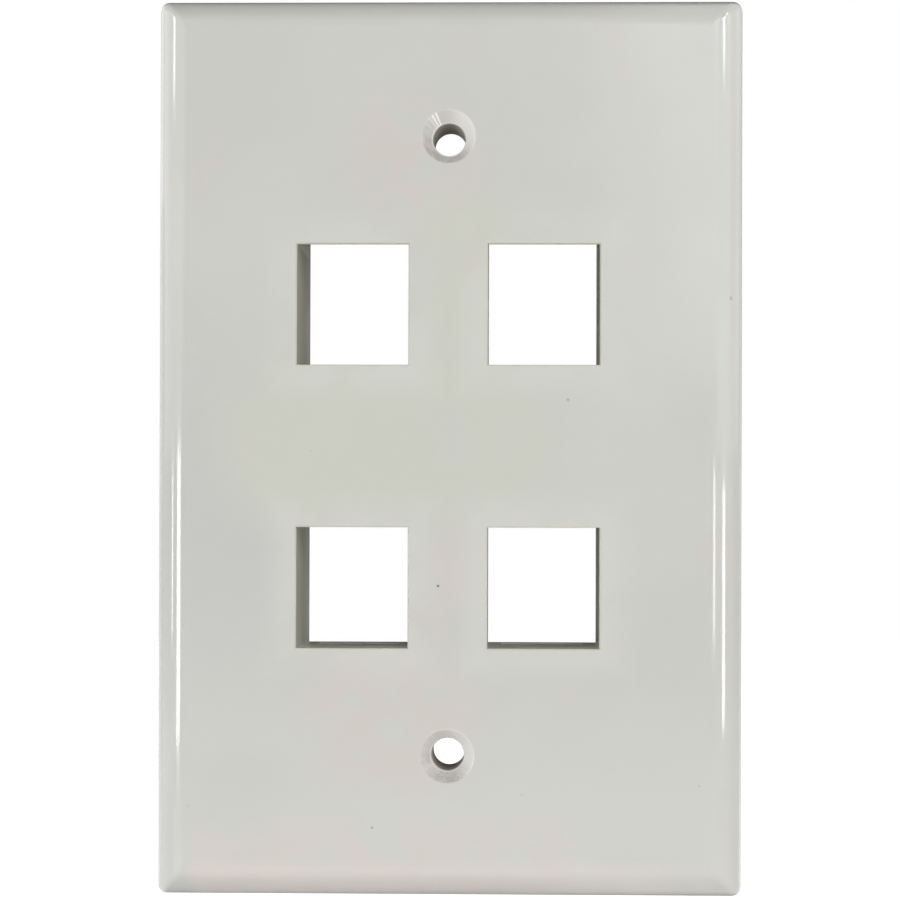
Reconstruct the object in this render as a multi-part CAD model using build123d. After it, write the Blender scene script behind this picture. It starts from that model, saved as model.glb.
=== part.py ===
import math
import os

from build123d import *

# Four-port keystone faceplate, moulded in one piece.
# Millimetres, +Z up. The origin is the centre of the wall plane that the rim sits on.
# The front looks along -Y and +X is to the right as seen from the front.
# A "depth" is measured from the front face towards the wall, along +Y.

# Plate: a flat face that rolls off into a short straight skirt
plate_width = 80.8
plate_height = 123.5
shoulder_radius = 5.2
skirt_straight = 1.4
skirt_thickness = 1.8
face_thickness = 2.2
corner_radius = 1.3
rim_chamfer = 0.3

# Screw holes, one above and one below the ports
screw_spacing = 83.34
screw_bore = 4.4
countersink_diameter = 7.2
countersink_angle = 90.0
countersink_rim_round = 0.45
boss_wall = 2.0
boss_depth = 4.9
boss_root_flare = 0.6

# Port passages, in columns and rows about the centre of the plate
port_columns = 2
port_rows = 2
port_width = 15.0
port_height = 16.25
port_pitch_x = 25.76
port_pitch_z = 38.15
port_depth = 9.7
port_draft = 0.235
port_edge_round = 0.2

# Port housing behind the face
side_wall = 1.4
lug_wall = 2.0
latch_wall = 1.4
housing_corner_round = 0.8

# Slot through the lower wall for the fixed lug of a jack, ahead of the rear lip
lug_lip = 1.6
lug_slot_width = 1.6
lug_slot_length = 11.6

# Latch side: a thin front lip, sloping room behind it, and the catch at the rear
latch_lip = 0.2
latch_room = 4.0
latch_slope = 45.0
catch_thickness = 1.6
catch_overhang = 1.0
catch_lead_in = 0.7

# Stiffening ribs on the back of the face
rib_root = 1.4
rib_tip = 1.0
rib_setback = 1.2

# Cutting tools stand this far out of what they cut
overcut = 1.0

plate_depth = shoulder_radius + skirt_straight
face_y = -plate_depth
face_rear_y = face_y + face_thickness
root_y = face_y + face_thickness / 2
hollow_shoulder = min(shoulder_radius - skirt_thickness, 0.9 * (plate_depth - face_thickness))

passage_rear_half_width = port_width / 2 + port_draft
housing_half_width = passage_rear_half_width + side_wall
housing_bottom = -port_height / 2 - port_draft - lug_wall
housing_top = port_height / 2 + latch_room + latch_wall
housing_height = housing_top - housing_bottom
boss_diameter = screw_bore + 2 * boss_wall

port_columns_x = [port_pitch_x * (i - (port_columns - 1) / 2) for i in range(port_columns)]
port_rows_z = [port_pitch_z * (i - (port_rows - 1) / 2) for i in range(port_rows)]
screw_rows_z = [-screw_spacing / 2, screw_spacing / 2]


def dished_block(width, height, front_y, rear_y, shoulder):
    """A slab whose front edges roll off in a quarter round and whose corners are softly blended."""
    slab = Box(width, rear_y - front_y, height, align=(Align.CENTER, Align.MIN, Align.CENTER))
    slab = Pos(0, front_y, 0) * slab
    slab = fillet(slab.faces().sort_by(Axis.Y)[0].edges(), shoulder)
    return fillet(slab.edges().filter_by(Axis.Y), corner_radius)


def outside():
    """The plate as a solid slab, with a small chamfer round the rim."""
    slab = dished_block(plate_width, plate_height, face_y, 0, shoulder_radius)
    return chamfer(slab.faces().sort_by(Axis.Y)[-1].edges(), rim_chamfer)


def hollow():
    """The space behind the face and inside the skirt, open towards the wall."""
    width = plate_width - 2 * skirt_thickness
    height = plate_height - 2 * skirt_thickness
    return dished_block(width, height, face_rear_y, overcut, hollow_shoulder)


def housing():
    """Outside of one port housing, rooted in the face and standing back into the wall box."""
    middle = (housing_bottom + housing_top) / 2
    outline = RectangleRounded(2 * housing_half_width, housing_height, housing_corner_round)
    rear_y = face_y + port_depth
    rear = Plane(origin=(0, rear_y, middle), x_dir=(1, 0, 0), z_dir=(0, -1, 0))
    return extrude(rear * outline, rear_y - root_y)


def passage():
    """The way through one port: a drafted throat, with sloping room and a catch for the latch above."""
    top = port_height / 2
    bottom = -port_height / 2
    room_top = top + latch_room
    catch_edge = room_top - catch_overhang
    slope_start = port_edge_round + latch_lip
    slope_end = slope_start + latch_room / math.tan(math.radians(latch_slope))
    side_view = Polygon(
        (-overcut, bottom),
        (0, bottom),
        (port_depth, bottom - port_draft),
        (port_depth + overcut, bottom - port_draft),
        (port_depth + overcut, catch_edge + catch_lead_in + overcut),
        (port_depth, catch_edge + catch_lead_in),
        (port_depth - catch_lead_in, catch_edge),
        (port_depth - catch_thickness, catch_edge),
        (port_depth - catch_thickness, room_top),
        (slope_end, room_top),
        (slope_start, top),
        (-overcut, top),
        align=None,
    )
    plan = Polygon(
        (-port_width / 2, -overcut),
        (port_width / 2, -overcut),
        (port_width / 2, 0),
        (passage_rear_half_width, port_depth),
        (passage_rear_half_width, port_depth + overcut),
        (-passage_rear_half_width, port_depth + overcut),
        (-passage_rear_half_width, port_depth),
        (-port_width / 2, 0),
        align=None,
    )
    side_plane = Plane(origin=(0, face_y, 0), x_dir=(0, 1, 0), z_dir=(1, 0, 0))
    plan_plane = Plane(origin=(0, face_y, 0), x_dir=(1, 0, 0), z_dir=(0, 0, 1))
    lengthwise = extrude(side_plane * side_view, housing_half_width, both=True)
    upright = extrude(plan_plane * plan, housing_height, both=True)
    return lengthwise & upright


def lug_slot():
    """The slot through the lower wall of a housing, where the fixed lug of a jack hooks in."""
    slot_height = -port_height / 2 - housing_bottom + overcut
    middle_y = face_y + port_depth - lug_lip - lug_slot_width / 2
    slot = Box(lug_slot_length, lug_slot_width, slot_height, align=(Align.CENTER, Align.CENTER, Align.MAX))
    return Pos(0, middle_y, -port_height / 2) * slot


def boss():
    """Round boss behind a screw hole, flared where it grows out of the face."""
    rear_y = face_y + boss_depth
    half_section = Polygon(
        (0, root_y),
        (boss_diameter / 2 + boss_root_flare, root_y),
        (boss_diameter / 2 + boss_root_flare, face_rear_y),
        (boss_diameter / 2, face_rear_y + boss_root_flare),
        (boss_diameter / 2, rear_y),
        (0, rear_y),
        align=None,
    )
    return revolve(half_section, Axis.Y)


def screw_hole():
    """Clearance bore with a countersink in the front face."""
    cone_slope = math.tan(math.radians(countersink_angle / 2))
    cone_depth = (countersink_diameter - screw_bore) / 2 / cone_slope
    half_section = Polygon(
        (0, face_y - overcut),
        (countersink_diameter / 2, face_y - overcut),
        (countersink_diameter / 2, face_y),
        (screw_bore / 2, face_y + cone_depth),
        (screw_bore / 2, face_y + boss_depth + overcut),
        (0, face_y + boss_depth + overcut),
        align=None,
    )
    return revolve(half_section, Axis.Y)


def rib(start, end):
    """A straight tapered rib on the back of the face, from one (x, z) point to another."""
    run = Vector(end[0] - start[0], 0, end[1] - start[1])
    across = Plane(origin=(start[0], root_y, start[1]), x_dir=Vector(0, 1, 0).cross(run), z_dir=run)
    rise = -rib_setback - root_y
    section = Polygon(
        (-rib_root / 2, 0),
        (rib_root / 2, 0),
        (rib_tip / 2, rise),
        (-rib_tip / 2, rise),
        align=None,
    )
    return extrude(across * section, run.length)


def ribs():
    """Ties between the housings, from the housings to the skirt, and from the bosses to the skirt."""
    skirt_x = plate_width / 2 - skirt_thickness / 2
    skirt_z = plate_height / 2 - skirt_thickness / 2
    wall_offset = housing_half_width - side_wall / 2
    boss_middle = (screw_bore + boss_wall) / 2
    made = []
    for lower, upper in zip(port_rows_z[:-1], port_rows_z[1:]):
        foot_z = lower + housing_top - latch_wall / 2
        head_z = upper + housing_bottom + lug_wall / 2
        for column in port_columns_x:
            made.append(rib((column - wall_offset, foot_z), (column - wall_offset, head_z)))
            made.append(rib((column + wall_offset, foot_z), (column + wall_offset, head_z)))
    for row in port_rows_z:
        made.append(rib((port_columns_x[-1] + wall_offset, row), (skirt_x, row)))
        made.append(rib((port_columns_x[0] - wall_offset, row), (-skirt_x, row)))
        for left, right in zip(port_columns_x[:-1], port_columns_x[1:]):
            made.append(rib((left + wall_offset, row), (right - wall_offset, row)))
    for row in screw_rows_z:
        side = math.copysign(1, row)
        made.append(rib((0, row + side * boss_middle), (0, side * skirt_z)))
    return made


def front_edges(plate):
    """Edges of the openings in the front face: those of the port mouths, and the countersink rims."""
    face = plate.faces().filter_by(Axis.Y).sort_by(Axis.Y)[0]
    mouths = []
    rims = []
    for loop in face.inner_wires():
        if loop.edges().filter_by(GeomType.CIRCLE):
            rims.extend(loop.edges())
        else:
            mouths.extend(loop.edges())
    return mouths, rims


def faceplate():
    """The whole moulding."""
    slab = outside()
    ports = [Pos(x, 0, z) for x in port_columns_x for z in port_rows_z]
    screws = [Pos(0, 0, z) for z in screw_rows_z]
    plate = slab - hollow()
    plate = plate + [place * housing() for place in ports]
    plate = plate + [place * boss() for place in screws]
    plate = plate + [piece & slab for piece in ribs()]
    plate = plate - [place * passage() for place in ports]
    plate = plate - [place * lug_slot() for place in ports]
    plate = plate - [place * screw_hole() for place in screws]
    plate = fillet(front_edges(plate)[1], countersink_rim_round)
    return fillet(front_edges(plate)[0], port_edge_round)


os.makedirs("parts", exist_ok=True)
moulding = faceplate()
print("faceplate volume cm3", round(moulding.volume / 1000, 3), "valid", moulding.is_valid)
export_step(moulding, "parts/faceplate.step")
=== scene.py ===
# %% [markdown]
# A keystone faceplate, dressed for a picture
#
# The real object is one injection moulding: a flat face with rolled shoulders, four square
# ports for snap-in jacks and two countersunk screw holes. Its shape is finished already, so
# this lesson only loads it and works on what the eye sees: the viewpoint, the light and the
# plastic itself. Everything is in metres, the front looks along -Y and +Z is up.

import math

import bpy
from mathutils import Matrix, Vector


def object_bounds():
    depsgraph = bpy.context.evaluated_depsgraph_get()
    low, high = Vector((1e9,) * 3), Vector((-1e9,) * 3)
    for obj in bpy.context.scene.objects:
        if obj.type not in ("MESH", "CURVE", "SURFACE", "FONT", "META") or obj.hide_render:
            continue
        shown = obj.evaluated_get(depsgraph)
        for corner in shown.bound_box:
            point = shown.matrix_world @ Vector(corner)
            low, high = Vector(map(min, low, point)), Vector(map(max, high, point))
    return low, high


MM = 0.001
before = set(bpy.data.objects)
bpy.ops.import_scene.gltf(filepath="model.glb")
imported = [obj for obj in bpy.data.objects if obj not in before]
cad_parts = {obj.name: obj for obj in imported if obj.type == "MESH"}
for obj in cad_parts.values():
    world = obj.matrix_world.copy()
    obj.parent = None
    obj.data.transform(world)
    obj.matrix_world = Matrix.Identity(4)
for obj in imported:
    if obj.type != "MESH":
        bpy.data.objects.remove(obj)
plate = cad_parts["faceplate"]
cad_low, cad_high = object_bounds()
plate_width, plate_depth, plate_height = (cad_high - cad_low) / MM
print(f"plate {plate_width:.1f} x {plate_height:.1f} mm, {plate_depth:.1f} mm deep with its housings")

# %% [markdown]
# The viewpoint
#
# It comes first, because every highlight depends on it. The photograph was taken from close
# by, a little right of the middle and below it, looking straight at the face. The camera could
# be turned to bring the plate into the frame, but then its upright edges would lean. Sliding
# the lens instead, with a shift, keeps them parallel, as the photograph does.

# %% Camera
FRAME_PIXELS = 900
SENSOR_WIDTH = 36.0
FOCAL_PIXELS = 997.6
LENS_CENTRE = (512.3, 523.2)
CAMERA_PLACE = Vector((9.88, -140.52, -10.75)) * MM
CAMERA_TURN = (90.169, -0.158, 0.508)

view = bpy.data.cameras.new("view")
view.sensor_width = SENSOR_WIDTH
view.lens = SENSOR_WIDTH * FOCAL_PIXELS / FRAME_PIXELS
view.shift_x = (FRAME_PIXELS / 2 - LENS_CENTRE[0]) / FRAME_PIXELS
view.shift_y = (LENS_CENTRE[1] - FRAME_PIXELS / 2) / FRAME_PIXELS
view.clip_start = 1 * MM
view.clip_end = 50.0
camera = bpy.data.objects.new("view", view)
camera.location = CAMERA_PLACE
camera.rotation_euler = [math.radians(a) for a in CAMERA_TURN]
bpy.context.scene.collection.objects.link(camera)
bpy.context.scene.camera = camera
print(f"lens {view.lens:.1f} mm, shift {view.shift_x:.3f}, {view.shift_y:.3f}")


# %% [markdown]
# Tools for node materials
#
# Materials are made of nodes, and wiring them by hand takes many lines. A small helper adds a
# node, sets its plain values and joins its inputs in a single call, so that each finish below
# reads like a recipe. The soft ramp is used most of all, because light and dirt hardly ever
# end at a sharp line.

# %% Helpers for wiring nodes
def add(tree, kind, inputs=None, **settings):
    """Adds a node. An input is a plain value, or the socket that it is joined to."""
    node = tree.nodes.new(kind)
    for name, value in settings.items():
        setattr(node, name, value)
    for key, value in (inputs or {}).items():
        if isinstance(value, bpy.types.NodeSocket):
            tree.links.new(value, node.inputs[key])
        else:
            node.inputs[key].default_value = value
    return node


def math_node(tree, operation, first, second=0.0, clamp=False):
    """The result of one sum, product or comparison."""
    node = add(tree, "ShaderNodeMath", {0: first, 1: second}, operation=operation, use_clamp=clamp)
    return node.outputs[0]


def vector_node(tree, operation, first, second=(0, 0, 0)):
    """The same for places and directions. It returns all outputs: "Vector" and "Value"."""
    return add(tree, "ShaderNodeVectorMath", {0: first, 1: second}, operation=operation).outputs


def ramp(tree, value, start, end, low=0.0, high=1.0, kind="SMOOTHSTEP"):
    """Low up to the start, high from the end on, and a soft passage between them."""
    limits = {"Value": value, "From Min": start, "From Max": end, "To Min": low, "To Max": high}
    return add(tree, "ShaderNodeMapRange", limits, interpolation_type=kind).outputs[0]


def split(tree, vector):
    """The X, Y and Z of a place or a direction."""
    parts = add(tree, "ShaderNodeSeparateXYZ", {0: vector}).outputs
    return parts["X"], parts["Y"], parts["Z"]


# %% [markdown]
# Groups
#
# What is used more than once becomes a node group. Its sockets have names, so it can be read
# and changed in the node editor without knowing what is inside.

# %% Helpers for node groups
VALUE, VECTOR = "NodeSocketFloat", "NodeSocketVector"
PLACE = (VECTOR, (0, 0, 0))


def number(value):
    """The kind of a number socket, and the value that it starts with."""
    return (VALUE, value)


def new_group(name, inputs, outputs):
    """An empty group, and the sockets inside it that carry its inputs and outputs."""
    tree = bpy.data.node_groups.new(name, "ShaderNodeTree")
    for label, (kind, value) in inputs.items():
        socket = tree.interface.new_socket(label, in_out="INPUT", socket_type=kind)
        socket.default_value = value
    for label, kind in outputs.items():
        tree.interface.new_socket(label, in_out="OUTPUT", socket_type=kind)
    print(f"group {name}: {', '.join(inputs)} in, {', '.join(outputs)} out")
    return tree, add(tree, "NodeGroupInput").outputs, add(tree, "NodeGroupOutput").inputs


def use_group(tree, group, **inputs):
    """Places a group in a material and returns what it puts out."""
    return add(tree, "ShaderNodeGroup", inputs, node_tree=group).outputs


# %% [markdown]
# The surroundings
#
# The photograph is a cut-out on pure white. Here the white is what the camera and mirror-like
# reflections meet, while the light that falls on the plate stays at a plain level.
#
# The real plate mirrors nothing bright from steeply above or below, except towards the right,
# nothing bright from straight behind, and something dimmer from far to the right: its ports,
# its top and bottom shoulders and its right edge are darker than the rest. So the room is a
# front room, dim behind, and its mirrored white is held back in those directions. World and
# floor both need that, so it is one node group with the direction as its input. A direction
# has a length of one, so each limit below is a share of straight right, back or up.

# %% Group for the front room
FRONT_LIGHT, BACK_LIGHT = 0.29, 0.12
FRONT_TO_BACK = (-0.9, 0.1)
OVERHEAD, OVERHEAD_LIGHT = (0.3, 0.7), 0.1
STEEP, STEEP_UNLESS_ASIDE = (0.72, 0.93), (0.4, 0.6)
STEEP_TO_THE_RIGHT, STEEP_WHITE = (0.0, 0.17), (0.05, 1.0)
BEHIND, BEHIND_UNLESS_ASIDE = (0.2, 0.5), (0.35, 0.55)
FAR_RIGHT, FAR_RIGHT_FROM_FRONT, FAR_RIGHT_WHITE = (0.6, 0.85), (-0.12, 0.04), 0.6

room, given, found = new_group("front_room", {"Direction": PLACE}, {"Lit": VALUE, "Mirrored": VALUE})
direction = vector_node(room, "NORMALIZE", given["Direction"])["Vector"]
rightwards, backwards, upwards = split(room, direction)
steep = math_node(room, "ABSOLUTE", upwards)
aside = math_node(room, "ABSOLUTE", rightwards)

light = ramp(room, backwards, *FRONT_TO_BACK, FRONT_LIGHT, BACK_LIGHT)
light_above = ramp(room, upwards, *OVERHEAD, 1.0, OVERHEAD_LIGHT)
room.links.new(math_node(room, "MULTIPLY", light, light_above), found["Lit"])

steep_white = ramp(room, rightwards, *STEEP_TO_THE_RIGHT, *STEEP_WHITE)
white = ramp(room, steep, *STEEP, 1.0, steep_white)
white = math_node(room, "MAXIMUM", white, ramp(room, aside, *STEEP_UNLESS_ASIDE))
not_behind = ramp(room, backwards, *BEHIND, 1.0, 0.0)
not_behind = math_node(room, "MAXIMUM", not_behind, ramp(room, aside, *BEHIND_UNLESS_ASIDE))
not_far_right = ramp(room, rightwards, *FAR_RIGHT, 1.0, 0.0)
right_white = ramp(room, backwards, *FAR_RIGHT_FROM_FRONT, 1.0, FAR_RIGHT_WHITE)
white = math_node(room, "MULTIPLY", white, not_behind)
white = math_node(room, "MULTIPLY", white, math_node(room, "MAXIMUM", not_far_right, right_white))
room.links.new(white, found["Mirrored"])

# %% [markdown]
# The world is the far part of that room. A picture of a real studio could stand in for it, but
# two plain levels, one for light and one for reflections, are easier to set and to explain. The
# Light Path node tells which of the two a ray asks for. It stays out of the group, because a
# group should hold only colours, masks and numbers.

# %% World
WHITE = (1, 1, 1, 1)


def shown_directly(tree, mirrored):
    """1 where the camera or clear glass looks straight at it, and its share in reflections."""
    path = add(tree, "ShaderNodeLightPath").outputs
    glossy = math_node(tree, "MULTIPLY", path["Is Glossy Ray"], mirrored)
    seen = math_node(tree, "MAXIMUM", path["Is Camera Ray"], path["Is Transmission Ray"])
    return math_node(tree, "MAXIMUM", seen, glossy)


world = bpy.data.worlds.new("studio")
bpy.context.scene.world = world
world.use_nodes = True
sky = world.node_tree
sky.nodes.clear()
far_room = use_group(sky, room, Direction=add(sky, "ShaderNodeTexCoord").outputs["Generated"])
glossy_ray = add(sky, "ShaderNodeLightPath").outputs["Is Glossy Ray"]
strength = math_node(sky, "MULTIPLY", far_room["Lit"], math_node(sky, "SUBTRACT", 1.0, glossy_ray))
strength = math_node(sky, "MAXIMUM", strength, shown_directly(sky, far_room["Mirrored"]))
around = add(sky, "ShaderNodeBackground", {"Color": WHITE, "Strength": strength})
add(sky, "ShaderNodeOutputWorld", {"Surface": around.outputs[0]})
print(f"world light {FRONT_LIGHT} in front and {BACK_LIGHT} behind")

# %% [markdown]
# An outlet sits well above the floor of its room, so the floor is pale paper at that distance
# below the plate. To the camera it glows white, as a lit backdrop would, but a little less right
# under the plate, where the shadow of the plate lies.

# %% Floor
OUTLET_HEIGHT = 0.38
FLOOR_HALF = 3.0
SHADOW_GLOW = 0.7
SHADOW_REACH = 0.6
PAPER = (0.8, 0.8, 0.8, 1)

floor_mesh = bpy.data.meshes.new("floor")
corners = [(-1, -1), (1, -1), (1, 1), (-1, 1)]
corners = [(x * FLOOR_HALF, y * FLOOR_HALF, -OUTLET_HEIGHT) for x, y in corners]
floor_mesh.from_pydata(corners, [], [(0, 1, 2, 3)])
floor = bpy.data.objects.new("floor", floor_mesh)
bpy.context.scene.collection.objects.link(floor)

floor_finish = bpy.data.materials.new("pale_floor")
floor_finish.use_nodes = True
tree = floor_finish.node_tree
tree.nodes.clear()
floor_place = add(tree, "ShaderNodeTexCoord").outputs["Object"]
from_plate = vector_node(tree, "LENGTH", floor_place)["Value"]
fading = ramp(tree, from_plate, OUTLET_HEIGHT, SHADOW_REACH, SHADOW_GLOW, 1.0)
mirrored = use_group(tree, room, Direction=floor_place)["Mirrored"]
glow_strength = math_node(tree, "MULTIPLY", shown_directly(tree, mirrored), fading)
paper = add(tree, "ShaderNodeBsdfDiffuse", {"Color": PAPER})
glow = add(tree, "ShaderNodeEmission", {"Color": WHITE, "Strength": glow_strength})
both = add(tree, "ShaderNodeAddShader", {0: paper.outputs[0], 1: glow.outputs[0]})
add(tree, "ShaderNodeOutputMaterial", {"Surface": both.outputs[0]})
floor_mesh.materials.append(floor_finish)
print(f"floor {2 * FLOOR_HALF:.0f} m wide, {OUTLET_HEIGHT} m below the middle of the plate")


# %% [markdown]
# The lamps
#
# The photograph shows the light of large soft sources left and right, brighter on the right. A
# glossy shoulder is a curved mirror, so each place on it shows one direction of the room. That
# makes it natural to state a lamp by its bearing and its rise as seen from the plate, and by how
# bright the panel itself looks. Blender wants a size in metres and a power in watts, and both
# follow from these.

# %% Helper for a lamp
def lamp(name, bearing, rise, distance, glow):
    """A soft panel that faces the plate. Bearing is from straight in front, positive to the right.
    Bearing and rise are each from and to, in degrees; glow is how bright the panel itself looks."""
    a, e = math.radians(sum(bearing) / 2), math.radians(sum(rise) / 2)
    way = Vector((math.sin(a) * math.cos(e), -math.cos(a) * math.cos(e), math.sin(e)))
    data = bpy.data.lights.new(name, "AREA")
    data.shape = "RECTANGLE"
    data.size = 2 * distance * math.tan(math.radians(bearing[1] - bearing[0]) / 2)
    data.size_y = 2 * distance * math.tan(math.radians(rise[1] - rise[0]) / 2)
    data.energy = glow * math.pi * data.size * data.size_y
    panel = bpy.data.objects.new(name, data)
    panel.location = way * distance
    panel.rotation_euler = (-way).to_track_quat("-Z", "Y").to_euler()
    panel.visible_camera = False
    bpy.context.scene.collection.objects.link(panel)
    print(f"{name}: {data.size:.2f} x {data.size_y:.2f} m, {data.energy:.2f} W")


# %% [markdown]
# The soft boxes do most of the lighting. The high one on the right has to fade out towards the
# middle, so it is five panels that overlap, each starting a little further out. The lowest two
# stand close to the plate, because further away they would be under the floor.

# %% Soft boxes
FAR, CLOSE, CLOSEST = 1.4, 0.6, 0.35
FADING_STEPS = 5

# Name, bearing, rise, distance and glow
lamp("left_softbox", (-105, -38), (4, 40), FAR, 1.12)
lamp("left_side_softbox", (-140, -105), (2, 18), FAR, 0.1)
lamp("left_side_high_softbox", (-140, -105), (18, 38), FAR, 0.45)
lamp("left_low_softbox", (-105, -55), (-15, 4), FAR, 0.3)
lamp("left_foot_softbox", (-105, -42), (-32, -13), CLOSE, 0.35)
for step in range(FADING_STEPS):
    lamp(f"right_high_softbox_{step}", (5.5 + 1.2 * step, 34), (7 + 1.8 * step, 42), FAR, 0.34)
lamp("right_softbox", (34, 75), (4, 36), FAR, 1.45)
lamp("right_side_softbox", (75, 122), (4, 36), FAR, 0.85)
lamp("right_low_softbox", (34, 100), (-15, 4), FAR, 0.35)
lamp("low_panel", (-45, 45), (-60, -22), CLOSEST, 0.25)

# %% [markdown]
# The thin bright lines along the side shoulders are reflections of narrow bright things, such
# as windows and lamp tubes. On a round of 5 mm a panel of a few degrees becomes a line a hair
# wide, so small and very bright panels make them. They change the light on the face very little.

# %% Windows and strips
NEAR, FOOT = 1.2, 1.0

# Name, bearing, rise, distance and glow
lamp("left_window", (-52, -41), (-13, 3.9), NEAR, 13.0)
lamp("left_window_foot", (-51, -43), (-16, -13), FOOT, 1.5)
lamp("left_low_strip", (-70, -66.5), (-7, 3), NEAR, 12.0)
lamp("left_high_strip", (-71.5, -65.5), (23.5, 33), NEAR, 8.0)
lamp("right_window", (54, 63.5), (-12.5, 2), NEAR, 11.0)
lamp("right_high_strip", (53.5, 59.5), (26, 42), NEAR, 12.0)
lamp("right_narrow_strip", (27.5, 31), (-7.5, 3), NEAR, 11.0)

# %% [markdown]
# From behind the plate would be nearly black, because the room is dim there. A wide lamp behind
# it would also shine on the floor in front and make the whole face too pale. A far and narrow
# beam meets only the back of the plate. It is kept out of reflections, where it would be a
# glaring dot.

# %% Beam for the back
BEAM_DISTANCE = 2.4
BEAM_RISE = math.radians(5.0)
BEAM_ANGLE = math.radians(5.2)
BEAM_POWER = 130.0
BEAM_SOFT_EDGE = 0.25
BEAM_LENS_RADIUS = 0.09

behind = Vector((0, math.cos(BEAM_RISE), math.sin(BEAM_RISE)))
beam = bpy.data.lights.new("back_beam", "SPOT")
beam.energy = BEAM_POWER
beam.spot_size = BEAM_ANGLE
beam.spot_blend = BEAM_SOFT_EDGE
beam.shadow_soft_size = BEAM_LENS_RADIUS
back_beam = bpy.data.objects.new("back_beam", beam)
back_beam.location = behind * BEAM_DISTANCE
back_beam.rotation_euler = (-behind).to_track_quat("-Z", "Y").to_euler()
back_beam.visible_camera = False
back_beam.visible_glossy = False
bpy.context.scene.collection.objects.link(back_beam)
print(f"beam {2 * BEAM_DISTANCE * math.tan(BEAM_ANGLE / 2) / MM:.0f} mm wide at the plate")

# %% [markdown]
# The plastic
#
# The real plate is glossy off-white plastic, and close up it is far from one colour: its
# middle has yellowed a little, there are faint pinkish blotches, some dust, and rub marks
# where screws were driven home. Some light and shade is painted into the colour as well, on the
# left of the face, in the ports and round the screw holes. All of that can be painted by noise and
# by distance, measured in Object coordinates, so that it stays on the plate when it is turned.
#
# Patches are noise that is cut between two levels: below the start there is none, above the end
# it is full. The seed moves to another part of the noise, so that no two kinds coincide.

# %% Group for soft patches
patches, given, found = new_group(
    "soft_patches",
    {"Place": PLACE, "Size": number(0.01), "Start": number(0.5), "End": number(0.6), "Seed": number(0.0)},
    {"Mask": VALUE},
)
scale = math_node(patches, "DIVIDE", 1.0, given["Size"])
cloud = add(
    patches,
    "ShaderNodeTexNoise",
    {"Vector": given["Place"], "W": given["Seed"], "Scale": scale, "Detail": 3.0, "Roughness": 0.55},
    noise_dimensions="4D",
)
patches.links.new(ramp(patches, cloud.outputs["Fac"], given["Start"], given["End"]), found["Mask"])

# %% [markdown]
# A stain has a place of its own, which noise can't give. A round zone is full up to an inner
# radius and gone at an outer one. Several together make a band or a longer stain.

# %% Group for one round zone
round_zone, given, found = new_group(
    "round_zone",
    {"Place": PLACE, "Centre": PLACE, "Inner": number(0.001), "Outer": number(0.002)},
    {"Mask": VALUE},
)
offset = vector_node(round_zone, "SUBTRACT", given["Place"], given["Centre"])["Vector"]
reach = vector_node(round_zone, "LENGTH", offset)["Value"]
round_zone.links.new(ramp(round_zone, reach, given["Inner"], given["Outer"], 1.0, 0.0), found["Mask"])

# %% [markdown]
# A screw hole is painted in rings: the bore is grimy, with painted shade, the cone is rubbed by the
# head of the screw, and the lip between them carries a painted highlight. All three follow from the
# distance to the axis of the hole. The spoke is the direction away from that axis, for marks and
# for painted light and shade on one side of the cone.

# %% Group for a screw hole
BORE_RADIUS = 2.2 * MM
SINK_RADIUS = 3.75 * MM
BORE_EDGE = (BORE_RADIUS + 0.02 * MM, BORE_RADIUS + 0.1 * MM)
LIP_EDGE = (BORE_RADIUS + 0.1 * MM, BORE_RADIUS + 0.3 * MM)
SINK_EDGE = (SINK_RADIUS - 0.2 * MM, SINK_RADIUS)

screw_zone, given, found = new_group(
    "screw_zone",
    {"Place": PLACE, "Centre": PLACE},
    {"Bore": VALUE, "Cone": VALUE, "Lip": VALUE, "Spoke": VECTOR},
)
offset = vector_node(screw_zone, "SUBTRACT", given["Place"], given["Centre"])["Vector"]
flat = vector_node(screw_zone, "MULTIPLY", offset, (1, 0, 1))["Vector"]
radius = vector_node(screw_zone, "LENGTH", flat)["Value"]
bore = ramp(screw_zone, radius, *BORE_EDGE, 1.0, 0.0)
within_lip = ramp(screw_zone, radius, *LIP_EDGE, 1.0, 0.0)
within_sink = ramp(screw_zone, radius, *SINK_EDGE, 1.0, 0.0)
screw_zone.links.new(bore, found["Bore"])
screw_zone.links.new(math_node(screw_zone, "SUBTRACT", within_sink, bore, clamp=True), found["Cone"])
screw_zone.links.new(math_node(screw_zone, "SUBTRACT", within_lip, bore, clamp=True), found["Lip"])
screw_zone.links.new(vector_node(screw_zone, "NORMALIZE", flat)["Vector"], found["Spoke"])

# %% [markdown]
# The four ports lie alike on both sides of both middle lines of the plate, so folding the place
# with two absolute values brings all four onto one. The distance is negative inside a mouth and
# positive on the face around it. The ledge is 1 where the upper or lower side of the mouth is
# the nearer one.

# %% Group for the port mouths
PORT_PITCH_X, PORT_PITCH_Z = 25.76 * MM, 38.15 * MM
PORT_HALF_WIDTH, PORT_HALF_HEIGHT = 7.5 * MM, 8.125 * MM

port_zone, given, found = new_group("port_zone", {"Place": PLACE}, {"Distance": VALUE, "Ledge": VALUE})


def beyond_mouth(place_along, pitch, half):
    """How far a place is outside a mouth, counted along one direction."""
    folded = math_node(port_zone, "ABSOLUTE", place_along)
    from_middle = math_node(port_zone, "ABSOLUTE", math_node(port_zone, "SUBTRACT", folded, pitch / 2))
    return math_node(port_zone, "SUBTRACT", from_middle, half)


along_x, _, along_z = split(port_zone, given["Place"])
beyond_x = beyond_mouth(along_x, PORT_PITCH_X, PORT_HALF_WIDTH)
beyond_z = beyond_mouth(along_z, PORT_PITCH_Z, PORT_HALF_HEIGHT)
port_zone.links.new(math_node(port_zone, "MAXIMUM", beyond_x, beyond_z), found["Distance"])
port_zone.links.new(math_node(port_zone, "LESS_THAN", beyond_x, beyond_z), found["Ledge"])

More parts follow.
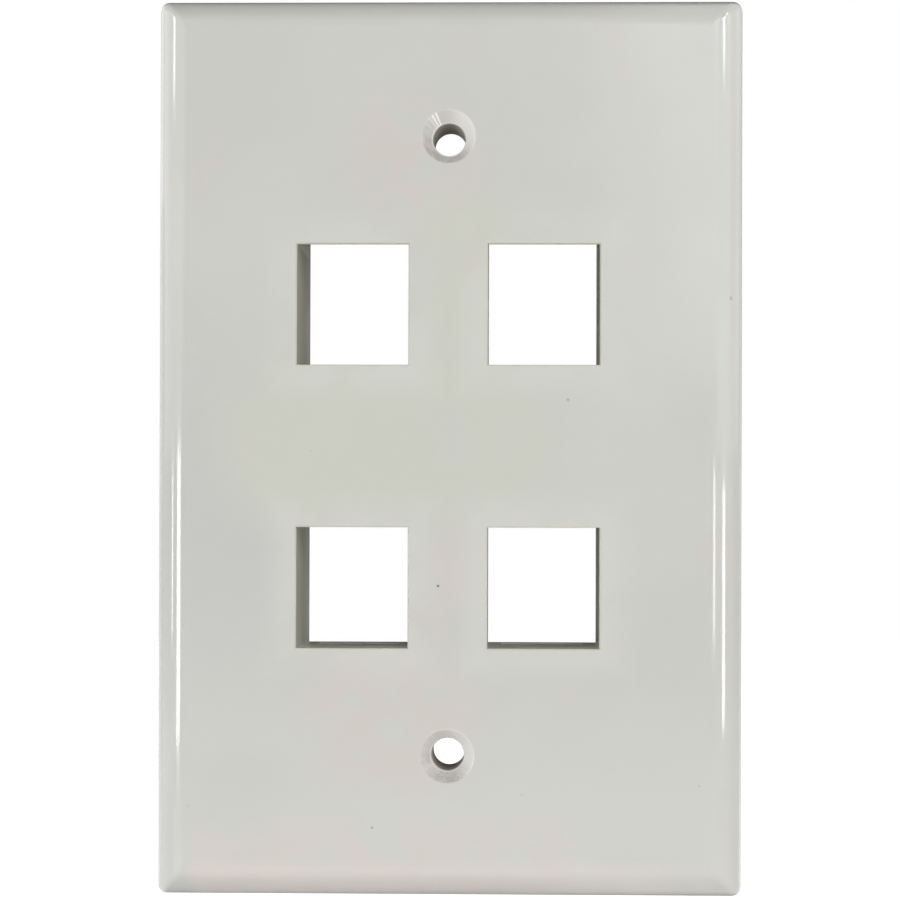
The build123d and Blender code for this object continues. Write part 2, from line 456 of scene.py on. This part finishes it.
# %% [markdown]
# With the groups in place, painting means laying one thin colour over another, each through its
# own mask, from the large and faint to the small and strong. The helpers for masks fill in what
# every mask of this material shares, and take sizes in millimetres.

# %% Helpers for painting
plastic = bpy.data.materials.new("plate_plastic")
plastic.use_nodes = True
tree = plastic.node_tree
tree.nodes.clear()
place = add(tree, "ShaderNodeTexCoord").outputs["Object"]
across, inwards, up = split(tree, place)


def patch_mask(size, start, end, seed):
    """Soft patches all over."""
    return use_group(tree, patches, Place=place, Size=size * MM, Start=start, End=end, Seed=seed)["Mask"]


def zone_mask(centre, inner, outer, where=place):
    """One round zone, full within the inner radius."""
    centre = [v * MM for v in centre]
    return use_group(tree, round_zone, Place=where, Centre=centre, Inner=inner * MM, Outer=outer * MM)["Mask"]


def fade(along, start, end, low=0.0, high=1.0):
    """A soft passage between two places along one direction."""
    return ramp(tree, along, start * MM, end * MM, low, high)


def both_masks(first, second):
    return math_node(tree, "MULTIPLY", first, second)


def either_mask(first, second):
    return math_node(tree, "MAXIMUM", first, second)


def tint(base, colour, mask, share=1.0):
    """The base colour, with this one over it where the mask is."""
    if share != 1.0:
        mask = math_node(tree, "MULTIPLY", mask, share)
    mix = add(tree, "ShaderNodeMix", {0: mask, 6: base, 7: (*colour, 1.0)}, data_type="RGBA")
    return mix.outputs[2]


print(f"material {plastic.name}")

# %% [markdown]
# The plain plastic has faint clouds, from how the moulding cooled. Its left side is painted a little
# darker, as painted shade. The middle band, and a strip between the upper ports, have yellowed.

# %% Plain plastic, painted shade on the left, and yellowing
FACE = -6.6
PLAIN = (0.57, 0.576, 0.541)
LEFT_SHADE = (0.535, 0.542, 0.515)
YELLOWED = (0.572, 0.582, 0.51)
CLOUD_DEPTH = 0.015

clouds = patch_mask(size=24, start=0.38, end=0.62, seed=1.0)
darker = [v * (1 - CLOUD_DEPTH) for v in PLAIN]
lighter = [v * (1 + CLOUD_DEPTH) for v in PLAIN]
colour = tint((*darker, 1.0), lighter, clouds)
# Painted shade: the left side of the face is darker in its colour.
colour = tint(colour, LEFT_SHADE, zone_mask((-27, FACE, -8), inner=6, outer=34), share=0.9)

yellow_zones = [
    # across, up, inner and outer radius
    (-8, 2, 8, 17),
    (-18, 1, 8, 17),
    (2, 2, 8, 17),
    (2.5, 28, 3, 10),
    (2.5, 18, 3, 10),
]
yellow = 0.0
for x, z, inner, outer in yellow_zones:
    yellow = either_mask(yellow, zone_mask((x, FACE, z), inner, outer))
yellow = both_masks(yellow, patch_mask(size=14, start=0.26, end=0.44, seed=2.0))
colour = tint(colour, YELLOWED, yellow)
print(f"{len(yellow_zones)} yellowed zones")

# %% [markdown]
# Pinkish blotches lie along the lower edge, below the upper screw hole, above the lower one and
# between the lower ports. A few more are scattered thinly over the whole face.

# %% Pinkish blotches
PINKISH = (0.6, 0.561, 0.525)
# Two places, in millimetres from the middle of the plate, and what is left beyond the second
LEFT_SHOULDER = (-36, -33)
LOWER_EDGE = (-48, -54)
EDGE_END, SHARE_BEYOND = (14, 18), 0.1

off_left_shoulder = fade(across, *LEFT_SHOULDER)
lower_edge = both_masks(fade(up, *LOWER_EDGE), fade(across, *EDGE_END, 1.0, SHARE_BEYOND))
pink_zones = [
    # across, up, inner and outer radius
    (-5, 39, 4, 13),
    (-7, -36, 6, 17),
    (2, -18, 3, 10),
]
pink = both_masks(lower_edge, off_left_shoulder)
for x, z, inner, outer in pink_zones:
    pink = either_mask(pink, zone_mask((x, FACE, z), inner, outer))
pink = both_masks(pink, patch_mask(size=6, start=0.36, end=0.54, seed=3.0))
scattered = patch_mask(size=9, start=0.62, end=0.7, seed=3.5)
colour = tint(colour, PINKISH, pink)
colour = tint(colour, PINKISH, scattered, share=0.6)
print(f"{len(pink_zones)} pinkish zones and the lower edge")

# %% [markdown]
# The lower shoulder is warmer than the face, less so towards its right end, and a thin warm
# line runs down the right shoulder. Both follow the plate's own edges, so fades that are
# multiplied mark them better than any zone or patch.

# %% Warm shoulders
WARM_SHOULDER = (0.64, 0.588, 0.555)
LOWER_SHOULDER = (-55, -57)
SHOULDER_END, SHARE_AT_END = (24, 38), 0.2
LINE_STARTS, LINE_ENDS = (37.6, 38), (38.5, 38.9)

lower_shoulder = both_masks(fade(up, *LOWER_SHOULDER), off_left_shoulder)
lower_shoulder = both_masks(lower_shoulder, fade(across, *SHOULDER_END, 1.0, SHARE_AT_END))
right_line = both_masks(fade(across, *LINE_STARTS), fade(across, *LINE_ENDS, 1.0, 0.0))
colour = tint(colour, WARM_SHOULDER, lower_shoulder, share=0.6)
colour = tint(colour, PINKISH, right_line, share=0.55)
print(f"{len(tree.nodes)} nodes so far")

# %% [markdown]
# Round each port the face is a touch lighter in patches, and the small round of the mouth carries
# a painted highlight. Behind the mouth the plastic is painted darker and yellower, more so with
# depth, as painted shade in the recess. The upper and lower sides are painted paler, as painted light.

# %% Ports
HALO = (0.61, 0.616, 0.572)
RIM_HIGHLIGHT = (0.62, 0.61, 0.56)
SHADED_IN_PORTS = (0.46, 0.45, 0.38)
SHADED_DEEP_IN_PORTS = (0.33, 0.32, 0.26)
PAINTED_LIGHT_ON_LEDGES = (0.62, 0.61, 0.53)
# Two distances from the mouth in millimetres, and the strength at each
MOUTH_EDGE = (0.0, 0.3, 1.0, 0.0)
HALO_REACH = (0.5, 6, 0.8, 0.0)
RIM_REACH = (0.15, 0.6, 0.5, 0.0)
DEEP_FROM, DEEP_TO = FACE + 1, FACE + 7

ports = use_group(tree, port_zone, Place=place)
behind_mouth = fade(ports["Distance"], *MOUTH_EDGE)
halo = fade(ports["Distance"], *HALO_REACH)
rim_highlight = fade(ports["Distance"], *RIM_REACH)
deep_shade = both_masks(behind_mouth, fade(inwards, DEEP_FROM, DEEP_TO))
ledge = both_masks(behind_mouth, ports["Ledge"])

halo = both_masks(halo, patch_mask(size=10, start=0.3, end=0.6, seed=8.0))
colour = tint(colour, HALO, halo)
# Painted highlight: a lighter line on the small round of each mouth.
colour = tint(colour, RIM_HIGHLIGHT, rim_highlight)
# Painted shade: the plastic behind each mouth darkens, more so with depth.
colour = tint(colour, SHADED_IN_PORTS, behind_mouth)
colour = tint(colour, SHADED_DEEP_IN_PORTS, deep_shade)
# Painted light: the upper and lower sides of each mouth are paler.
colour = tint(colour, PAINTED_LIGHT_ON_LEDGES, ledge)
print(f"mouths {2 * PORT_HALF_WIDTH / MM:.1f} x {2 * PORT_HALF_HEIGHT / MM:.2f} mm")

# %% [markdown]
# The screw holes
#
# Screws have been turned in both. A mark on one side of the cone compares the spoke with one
# direction, and how sharply it cuts off sets how wide the mark is. So the same mask makes painted
# light and shade on one side, a broad smear and a hairline streak, where a tool has slipped.

# %% Masks for the screw holes
HOLE_RISE = 41.67 * MM
BORE_DARKENS = (FACE + 1.2, FACE + 4.5, 0.5, 1.0)

upper = use_group(tree, screw_zone, Place=place, Centre=(0, 0, HOLE_RISE))
lower = use_group(tree, screw_zone, Place=place, Centre=(0, 0, -HOLE_RISE))
smudge = patch_mask(size=0.9, start=0.4, end=0.6, seed=5.0)
speckle = patch_mask(size=0.22, start=0.5, end=0.62, seed=6.0)
bore_depth = fade(inwards, *BORE_DARKENS)


def cone_side(hole, degrees, start, end):
    """The side of a cone that lies this way, in degrees left of straight up."""
    a = math.radians(degrees)
    facing = vector_node(tree, "DOT_PRODUCT", hole["Spoke"], (-math.sin(a), 0, math.cos(a)))["Value"]
    return both_masks(hole["Cone"], ramp(tree, facing, start, end))


def streak(hole, degrees, width):
    """A thin line down the cone. The width is a small share, not an angle."""
    return cone_side(hole, degrees, 1 - 4 * width, 1 - width)


print(f"holes {2 * HOLE_RISE / MM:.2f} mm apart")

# %% [markdown]
# The cone comes first, from the plastic itself to painted light on one side, smudged dirt with
# painted shade, a darker speckle below, the painted highlight of the lip and the streaks that cut
# through it all. The grime and painted shade of the bore and its rust come last, because they lie
# over everything there.

# %% Screw holes
CONE_WARM = (0.63, 0.595, 0.555)
PAINTED_LIGHT_PALE = (0.78, 0.775, 0.74)
GRIME_AND_SHADE = (0.14, 0.125, 0.09)
WORN_WHITE = (0.92, 0.9, 0.86)
RUST_BROWN = (0.3, 0.22, 0.14)

# Each side of a cone: its middle in degrees left of straight up, where it starts and is full
WARM_SIDE = (15, 0.2, 1.0)
LIT_SIDE = (-64, 0.0, 0.9)
SMUDGE_AND_SHADE_SIDE = (130, -0.2, 0.8)
SHADED_SIDE = (95, 0.3, 0.95)
SPECKLED_DARK_SIDE = (180, 0.3, 0.9)

# Each streak: its direction, width and strength
upper_streaks = [(29.5, 0.0003, 1.0), (38.5, 0.0004, 0.85), (47, 0.0005, 0.3), (60, 0.0006, 0.12)]
lower_streaks = [(38, 0.0004, 0.12), (75, 0.0004, 0.1)]
for hole, shaded, streaks in ((upper, 0.11, upper_streaks), (lower, 0.0, lower_streaks)):
    colour = tint(colour, CONE_WARM, cone_side(hole, *WARM_SIDE), share=0.5)
    # Painted light: the upper right side of the cone is paler.
    colour = tint(colour, PAINTED_LIGHT_PALE, cone_side(hole, *LIT_SIDE), share=0.75)
    # Smudged dirt with painted shade on the lower left of the cone.
    smudge_and_shade = both_masks(cone_side(hole, *SMUDGE_AND_SHADE_SIDE), smudge)
    colour = tint(colour, GRIME_AND_SHADE, smudge_and_shade, share=0.16)
    # Painted shade on the left of the cone, in the upper hole only.
    colour = tint(colour, GRIME_AND_SHADE, cone_side(hole, *SHADED_SIDE), share=shaded)
    # The lower side of the cone is speckled darker.
    speckled_dark = both_masks(cone_side(hole, *SPECKLED_DARK_SIDE), speckle)
    colour = tint(colour, GRIME_AND_SHADE, speckled_dark, share=0.25)
    # Painted highlight: a pale ring on the lip round the bore.
    colour = tint(colour, PAINTED_LIGHT_PALE, hole["Lip"], share=0.7)
    for degrees, width, strength in streaks:
        colour = tint(colour, WORN_WHITE, streak(hole, degrees, width), strength)
    # Grime with painted shade: the bore darkens with depth.
    colour = tint(colour, GRIME_AND_SHADE, both_masks(hole["Bore"], bore_depth))
    colour = tint(colour, RUST_BROWN, both_masks(hole["Bore"], speckle), share=0.5)
print(f"{len(upper_streaks)} streaks in the upper hole, {len(lower_streaks)} in the lower")

# %% [markdown]
# A few specks of dust lie on the face, and one of them is much darker than the rest. Each is a
# small round zone, but it is looked up at a place that wanders a little, which makes its edge
# ragged, as a crumb of dust is.

# %% Dust
DUST = (0.05, 0.045, 0.04)
CRUMBS = 4500.0
WANDER = 0.35 * MM
CORE, FRINGE = 0.35, 1.3

# Each speck: its place, size and darkness
specks = [
    ((-1.26, -6.6, -18.81), 0.2, 0.95),
    ((-10.03, -6.6, -51.33), 0.2, 0.45),
    ((16.13, -6.6, 6.21), 0.26, 0.35),
    ((38.1, -5.6, 20.1), 0.35, 0.3),
    ((36.38, -6.5, 58.47), 0.18, 0.35),
    ((36.92, -6.4, 58.47), 0.18, 0.35),
    ((33.8, -6.6, -45.48), 0.2, 0.18),
    ((-34.83, -6.6, -48.51), 0.2, 0.15),
    ((-18.41, -6.6, -0.71), 0.2, 0.1),
    ((10.1, -6.6, -46.8), 0.16, 0.2),
]
crumbs = add(tree, "ShaderNodeTexNoise", {"Vector": place, "Scale": CRUMBS, "Detail": 1.0})
swing = vector_node(tree, "SUBTRACT", crumbs.outputs["Color"], (0.5, 0.5, 0.5))["Vector"]
swing = add(tree, "ShaderNodeVectorMath", {0: swing, "Scale": WANDER}, operation="SCALE").outputs[0]
ragged = vector_node(tree, "ADD", place, swing)["Vector"]
for centre, size, darkness in specks:
    colour = tint(colour, DUST, zone_mask(centre, size * CORE, size * FRINGE, ragged), darkness)
print(f"{len(specks)} specks of dust")

# %% [markdown]
# Gloss
#
# The face mirrors the room almost sharply, and where it has been handled a little less so. It is
# duller inside the ports and at the back, where the mould was not polished, on the upper and lower
# sides of the mouths and on the rubbed cones, and a grimy bore is nearly matt. All of that is one
# number for each place, the roughness.

# %% Gloss
POLISHED, HANDLED = 0.085, 0.115
UNPOLISHED, ON_LEDGES, RUBBED_CONE, GRIMY_BORE = 0.08, 0.12, 0.14, 0.4
AT_THE_BACK = (-1.0, 0.2)

handled = patch_mask(size=11, start=0.35, end=0.65, seed=7.0)
unpolished = either_mask(behind_mouth, fade(inwards, *AT_THE_BACK))
rough = ramp(tree, handled, 0.0, 1.0, POLISHED, HANDLED, "LINEAR")
duller = [(unpolished, UNPOLISHED), (ledge, ON_LEDGES)]
for hole in (upper, lower):
    duller += [(hole["Cone"], RUBBED_CONE), (hole["Bore"], GRIMY_BORE)]
for mask, extra in duller:
    rough = math_node(tree, "ADD", rough, math_node(tree, "MULTIPLY", mask, extra))
print(f"roughness {POLISHED} to {HANDLED} on the face")

# %% [markdown]
# No moulding is quite flat. A fine grain comes from the surface of the mould, and a slow swell
# from the plastic shrinking as it cools. Both are far below a tenth of a millimetre, too small
# for the shape, so they only tilt the reflections.

# %% Grain and swell
GRAIN, GRAIN_HEIGHT, GRAIN_STRENGTH = 3500.0, 0.002 * MM, 0.12
SWELL, SWELL_HEIGHT, SWELL_STRENGTH = 160.0, 0.02 * MM, 0.5

grain = add(tree, "ShaderNodeTexNoise", {"Vector": place, "Scale": GRAIN, "Detail": 2.0}).outputs["Fac"]
swell = add(tree, "ShaderNodeTexNoise", {"Vector": place, "Scale": SWELL, "Detail": 1.0}).outputs["Fac"]
fine = {"Strength": GRAIN_STRENGTH, "Distance": GRAIN_HEIGHT, "Height": grain}
fine = add(tree, "ShaderNodeBump", fine).outputs[0]
slow = {"Strength": SWELL_STRENGTH, "Distance": SWELL_HEIGHT, "Height": swell, "Normal": fine}
bumped = add(tree, "ShaderNodeBump", slow).outputs[0]
print(f"grain up to {GRAIN_HEIGHT / MM} mm, swell up to {SWELL_HEIGHT / MM} mm")

# %% [markdown]
# Colour, roughness and bump meet in one Principled shader. Its other sockets stay as they are,
# because Blender's own start values are those of a plain plastic. The plate keeps its mesh, and
# only its material slot is filled.

# %% Finish the plastic
look = {"Base Color": colour, "Roughness": rough, "Normal": bumped}
surface = add(tree, "ShaderNodeBsdfPrincipled", look)
add(tree, "ShaderNodeOutputMaterial", {"Surface": surface.outputs[0]})
plate.material_slots[0].material = plastic
print(f"plastic made of {len(tree.nodes)} nodes")

# %% [markdown]
# Last comes plain colour management, so that a colour renders as it is written.

bpy.context.scene.view_settings.view_transform = "Standard"
